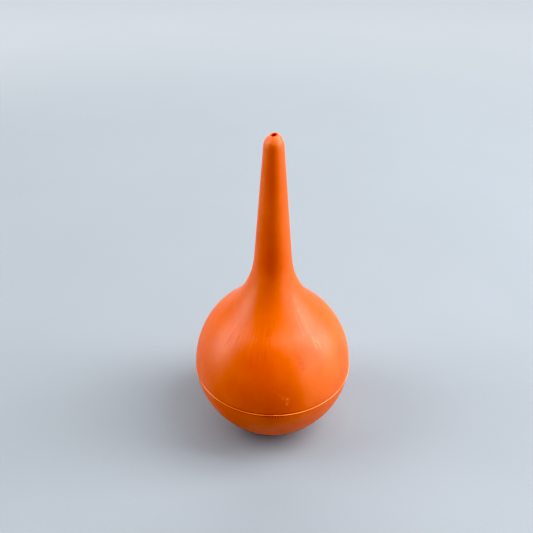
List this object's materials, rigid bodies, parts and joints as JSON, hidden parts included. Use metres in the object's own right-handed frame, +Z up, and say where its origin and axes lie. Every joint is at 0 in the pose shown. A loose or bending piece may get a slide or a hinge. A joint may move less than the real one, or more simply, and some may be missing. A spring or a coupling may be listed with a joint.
{
  "type": "nasal aspirator",
  "caption": "Soft rubber bulb aspirator: a round squeezable bulb on a small flat base, with a long tapered nozzle that bends and a small hole in its rounded tip.",
  "frame": {"origin": "centre of the flat base, where the bulb stands", "axes": "+Z up the nozzle's axis, Y through the two finger areas that squeeze in, X across them"},
  "size_m": [0.0524, 0.0524, 0.1062],
  "materials": {
    "bulb_rubber": "satin orange rubber, a little darker and browner under the moulding line",
    "finger_rubber": "the same rubber, slightly smoother from handling",
    "nozzle_rubber": "the same rubber, satin with a soft sheen along the taper"
  },
  "bodies": {
    "bulb": {"lower_bowl": "bulb_rubber", "upper_dome": "bulb_rubber", "nozzle_root": "nozzle_rubber"},
    "front_wall": {"squeeze_wall_front": "finger_rubber"},
    "back_wall": {"squeeze_wall_back": "finger_rubber"},
    "nozzle": {"nozzle": "nozzle_rubber"}
  },
  "joints": [
    {"name": "squeeze_front", "type": "slide", "parent": "bulb", "child": "front_wall", "axis": [0, 1, 0], "range_m": [0, 0.012], "stiffness_N_per_m": 1000},
    {"name": "squeeze_back", "type": "slide", "parent": "bulb", "child": "back_wall", "axis": [0, -1, 0], "range_m": [0, 0.012], "stiffness_N_per_m": 1000},
    {"name": "nozzle_bend", "type": "hinge", "parent": "bulb", "child": "nozzle", "pos_m": [0, 0, 0.069], "axis": [1, 0, 0], "range_deg": [-20, 20], "stiffness_Nm_per_rad": 0.08, "deforming": ["nozzle_root"]}
  ],
  "couplings": [
    {"joint": "squeeze_back", "follows": "squeeze_front", "ratio": 1}
  ]
}
